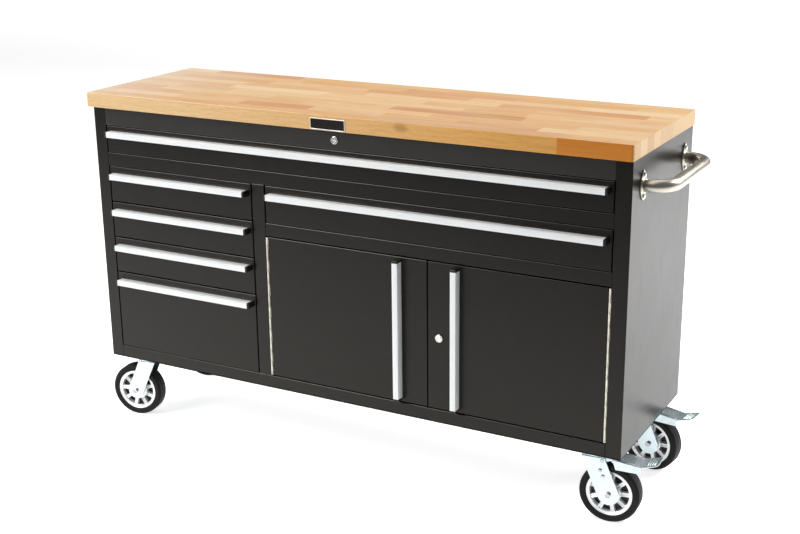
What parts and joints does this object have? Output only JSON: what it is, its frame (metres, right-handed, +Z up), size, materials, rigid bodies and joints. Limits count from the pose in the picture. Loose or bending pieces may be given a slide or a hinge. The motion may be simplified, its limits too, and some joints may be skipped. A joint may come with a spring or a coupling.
{
  "type": "rolling tool cabinet",
  "caption": "Low wide tool cabinet on swivel wheels with a wooden worktop, drawers, a two-door cupboard and a push handle at one end.",
  "frame": {"origin": "on the floor under the middle of the whole cabinet's outer box", "axes": "+X towards the end with the push handle, +Y towards the back, +Z up; the drawers and doors open towards -Y"},
  "size_m": [1.6236, 0.468, 0.943],
  "materials": {
    "wood_top": "oiled solid wood, glued staves",
    "black_paint": "satin powder coat",
    "pull_aluminium": "anodised",
    "brushed_steel": "brushed",
    "zinc_steel": "zinc plated",
    "rim_metal": "bright",
    "tyre_rubber": "matte",
    "lock_metal": "satin",
    "nameplate_metal": "black with a bright rim"
  },
  "bodies": {
    "cabinet": {"worktop": "wood_top", "nameplate": "nameplate_metal", "side_panel_left": "black_paint", "side_panel_right": "black_paint", "back_panel": "black_paint", "bottom_panel": "black_paint", "top_panel": "black_paint", "header_rail": "black_paint", "mid_rail": "black_paint", "right_rail": "black_paint", "divider": "black_paint", "push_handle": "brushed_steel", "push_handle_bolts": "brushed_steel", "caster_plates": "zinc_steel", "caster_bolts": "zinc_steel", "cabinet_slide_members": "zinc_steel", "cabinet_hinge_leaves": "zinc_steel", "header_lock_housing": "lock_metal"},
    "drawer_1": {"drawer_1_box": "black_paint", "drawer_1_pull": "pull_aluminium"},
    "drawer_1_slide": {"drawer_1_slide_middles": "zinc_steel"},
    "drawer_2": {"drawer_2_box": "black_paint", "drawer_2_pull": "pull_aluminium"},
    "drawer_2_slide": {"drawer_2_slide_middles": "zinc_steel"},
    "drawer_3": {"drawer_3_box": "black_paint", "drawer_3_pull": "pull_aluminium"},
    "drawer_3_slide": {"drawer_3_slide_middles": "zinc_steel"},
    "drawer_4": {"drawer_4_box": "black_paint", "drawer_4_pull": "pull_aluminium"},
    "drawer_4_slide": {"drawer_4_slide_middles": "zinc_steel"},
    "drawer_5": {"drawer_5_box": "black_paint", "drawer_5_pull": "pull_aluminium"},
    "drawer_5_slide": {"drawer_5_slide_middles": "zinc_steel"},
    "drawer_6": {"drawer_6_box": "black_paint", "drawer_6_pull": "pull_aluminium"},
    "drawer_6_slide": {"drawer_6_slide_middles": "zinc_steel"},
    "door_left": {"door_left_panel": "black_paint", "door_left_pull": "pull_aluminium", "door_left_hinge_leaf": "zinc_steel"},
    "door_right": {"door_right_panel": "black_paint", "door_right_pull": "pull_aluminium", "door_right_hinge_leaf": "zinc_steel", "door_lock_housing": "lock_metal"},
    "door_lock": {"door_lock_plug": "lock_metal"},
    "header_lock": {"header_lock_plug": "lock_metal"},
    "caster_front_right": {"caster_fork_front_right": "zinc_steel"},
    "wheel_front_right": {"wheel_rim_front_right": "rim_metal", "wheel_tyre_front_right": "tyre_rubber"},
    "pedal_front_right": {"brake_pedal_front_right": "zinc_steel"},
    "caster_back_right": {"caster_fork_back_right": "zinc_steel"},
    "wheel_back_right": {"wheel_rim_back_right": "rim_metal", "wheel_tyre_back_right": "tyre_rubber"},
    "pedal_back_right": {"brake_pedal_back_right": "zinc_steel"},
    "caster_front_left": {"caster_fork_front_left": "zinc_steel"},
    "wheel_front_left": {"wheel_rim_front_left": "rim_metal", "wheel_tyre_front_left": "tyre_rubber"},
    "caster_back_left": {"caster_fork_back_left": "zinc_steel"},
    "wheel_back_left": {"wheel_rim_back_left": "rim_metal", "wheel_tyre_back_left": "tyre_rubber"}
  },
  "joints": [
    {"name": "drawer_1_travel", "type": "slide", "parent": "cabinet", "child": "drawer_1", "axis": [0, -1, 0], "range_m": [0, 0.38]},
    {"name": "drawer_1_slide_travel", "type": "slide", "parent": "cabinet", "child": "drawer_1_slide", "axis": [0, -1, 0], "range_m": [0, 0.19]},
    {"name": "drawer_2_travel", "type": "slide", "parent": "cabinet", "child": "drawer_2", "axis": [0, -1, 0], "range_m": [0, 0.38]},
    {"name": "drawer_2_slide_travel", "type": "slide", "parent": "cabinet", "child": "drawer_2_slide", "axis": [0, -1, 0], "range_m": [0, 0.19]},
    {"name": "drawer_3_travel", "type": "slide", "parent": "cabinet", "child": "drawer_3", "axis": [0, -1, 0], "range_m": [0, 0.38]},
    {"name": "drawer_3_slide_travel", "type": "slide", "parent": "cabinet", "child": "drawer_3_slide", "axis": [0, -1, 0], "range_m": [0, 0.19]},
    {"name": "drawer_4_travel", "type": "slide", "parent": "cabinet", "child": "drawer_4", "axis": [0, -1, 0], "range_m": [0, 0.38]},
    {"name": "drawer_4_slide_travel", "type": "slide", "parent": "cabinet", "child": "drawer_4_slide", "axis": [0, -1, 0], "range_m": [0, 0.19]},
    {"name": "drawer_5_travel", "type": "slide", "parent": "cabinet", "child": "drawer_5", "axis": [0, -1, 0], "range_m": [0, 0.38]},
    {"name": "drawer_5_slide_travel", "type": "slide", "parent": "cabinet", "child": "drawer_5_slide", "axis": [0, -1, 0], "range_m": [0, 0.19]},
    {"name": "drawer_6_travel", "type": "slide", "parent": "cabinet", "child": "drawer_6", "axis": [0, -1, 0], "range_m": [0, 0.38]},
    {"name": "drawer_6_slide_travel", "type": "slide", "parent": "cabinet", "child": "drawer_6_slide", "axis": [0, -1, 0], "range_m": [0, 0.19]},
    {"name": "door_left_swing", "type": "hinge", "parent": "cabinet", "child": "door_left", "pos_m": [-0.2332, -0.212, 0.4175], "axis": [0, 0, 1], "range_deg": [-110, 0]},
    {"name": "door_right_swing", "type": "hinge", "parent": "cabinet", "child": "door_right", "pos_m": [0.6928, -0.212, 0.4175], "axis": [0, 0, 1], "range_deg": [0, 110]},
    {"name": "door_lock_turn", "type": "hinge", "parent": "door_right", "child": "door_lock", "pos_m": [0.2618, -0.212, 0.4145], "axis": [0, -1, 0], "range_deg": [0, 90]},
    {"name": "header_lock_turn", "type": "hinge", "parent": "cabinet", "child": "header_lock", "pos_m": [-0.0222, -0.212, 0.87965], "axis": [0, -1, 0], "range_deg": [0, 90]},
    {"name": "caster_front_right_swivel", "type": "hinge", "parent": "cabinet", "child": "caster_front_right", "pos_m": [0.6518, -0.15, 0.191], "axis": [0, 0, 1], "continuous": true},
    {"name": "wheel_front_right_spin", "type": "hinge", "parent": "caster_front_right", "child": "wheel_front_right", "pos_m": [0.69173, -0.14756, 0.075], "axis": [-0.061, 0.9981, 0], "continuous": true},
    {"name": "pedal_front_right_press", "type": "hinge", "parent": "caster_front_right", "child": "pedal_front_right", "pos_m": [0.67376, -0.14866, 0.161], "axis": [-0.061, 0.9981, 0], "range_deg": [0, 8]},
    {"name": "caster_back_right_swivel", "type": "hinge", "parent": "cabinet", "child": "caster_back_right", "pos_m": [0.6518, 0.176, 0.191], "axis": [0, 0, 1], "continuous": true},
    {"name": "wheel_back_right_spin", "type": "hinge", "parent": "caster_back_right", "child": "wheel_back_right", "pos_m": [0.69141, 0.17043, 0.075], "axis": [0.1392, 0.9903, 0], "continuous": true},
    {"name": "pedal_back_right_press", "type": "hinge", "parent": "caster_back_right", "child": "pedal_back_right", "pos_m": [0.67359, 0.17294, 0.161], "axis": [0.1392, 0.9903, 0], "range_deg": [0, 8]},
    {"name": "caster_front_left_swivel", "type": "hinge", "parent": "cabinet", "child": "caster_front_left", "pos_m": [-0.6962, -0.15, 0.191], "axis": [0, 0, 1], "continuous": true},
    {"name": "wheel_front_left_spin", "type": "hinge", "parent": "caster_front_left", "child": "wheel_front_left", "pos_m": [-0.73559, -0.15695, 0.075], "axis": [0.1736, -0.9848, 0], "continuous": true},
    {"name": "caster_back_left_swivel", "type": "hinge", "parent": "cabinet", "child": "caster_back_left", "pos_m": [-0.6962, 0.176, 0.191], "axis": [0, 0, 1], "continuous": true},
    {"name": "wheel_back_left_spin", "type": "hinge", "parent": "caster_back_left", "child": "wheel_back_left", "pos_m": [-0.73559, 0.16905, 0.075], "axis": [0.1736, -0.9848, 0], "continuous": true}
  ],
  "couplings": [
    {"joint": "drawer_1_slide_travel", "follows": "drawer_1_travel", "ratio": 0.5},
    {"joint": "drawer_2_slide_travel", "follows": "drawer_2_travel", "ratio": 0.5},
    {"joint": "drawer_3_slide_travel", "follows": "drawer_3_travel", "ratio": 0.5},
    {"joint": "drawer_4_slide_travel", "follows": "drawer_4_travel", "ratio": 0.5},
    {"joint": "drawer_5_slide_travel", "follows": "drawer_5_travel", "ratio": 0.5},
    {"joint": "drawer_6_slide_travel", "follows": "drawer_6_travel", "ratio": 0.5}
  ]
}
